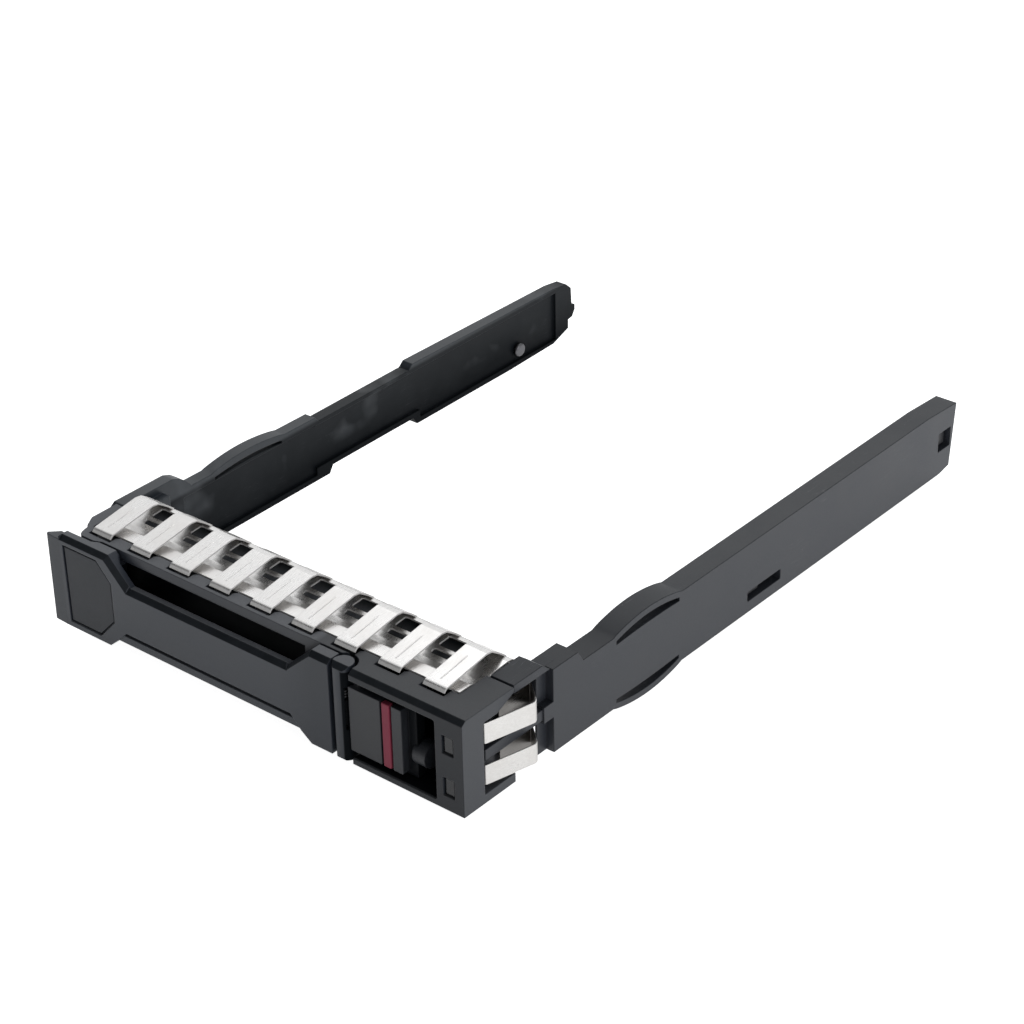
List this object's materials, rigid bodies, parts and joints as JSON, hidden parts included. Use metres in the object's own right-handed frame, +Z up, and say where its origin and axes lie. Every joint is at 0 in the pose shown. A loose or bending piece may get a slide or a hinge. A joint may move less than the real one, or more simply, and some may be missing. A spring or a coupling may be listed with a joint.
{
  "type": "hot-swap drive carrier",
  "caption": "Empty hot-swap carrier for a 2.5 inch hard disk drive: black bezel with hinged ejector lever and sliding latch, side rails and steel contact springs.",
  "frame": {"origin": "middle of the bezel's flat underside, 8 mm behind the front face and midway between the rails", "axes": "+X to the right seen from the front, +Y from the front back along the rails, +Z up to the side with the long contact spring"},
  "size_m": [0.0801, 0.118, 0.0179],
  "materials": {
    "bezel_black": "moulded satin black",
    "rail_black": "moulded satin black, faint wear",
    "lever_black": "moulded satin black",
    "latch_black": "moulded satin black",
    "label_grey": "flat charcoal insert",
    "stripe_maroon": "satin maroon",
    "spring_steel": "drawn wire",
    "contact_steel": "bright satin strip",
    "plate_steel": "satin plated sheet",
    "pin_steel": "turned steel",
    "dark_lens": "smoked light guide"
  },
  "bodies": {
    "carrier": {"bezel_frame": "bezel_black", "left_rail": "rail_black", "right_rail": "rail_black", "lever_hinge_pin": "pin_steel", "lever_return_spring": "spring_steel", "latch_return_spring": "spring_steel", "top_emi_spring": "contact_steel", "side_emi_spring": "contact_steel", "emi_back_plate": "plate_steel", "upper_light_pipe": "dark_lens", "lower_light_pipe": "dark_lens", "light_pipe_rear_clip": "rail_black", "light_pipe_mid_clip": "rail_black", "drive_pin_front_left": "pin_steel", "drive_pin_rear_left": "pin_steel", "drive_pin_front_right": "pin_steel", "drive_pin_rear_right": "pin_steel"},
    "lever": {"ejector_lever": "lever_black", "lever_label_insert": "label_grey"},
    "latch": {"release_latch": "latch_black", "latch_stripe_insert": "stripe_maroon"}
  },
  "joints": [
    {"name": "lever_swing", "type": "hinge", "parent": "carrier", "child": "lever", "pos_m": [0.01733, -0.0067, 0], "axis": [0, 0, 1], "range_deg": [0, 55]},
    {"name": "latch_slide", "type": "slide", "parent": "carrier", "child": "latch", "axis": [1, 0, 0], "range_m": [0, 0.0022], "deforming": ["latch_return_spring"]}
  ]
}
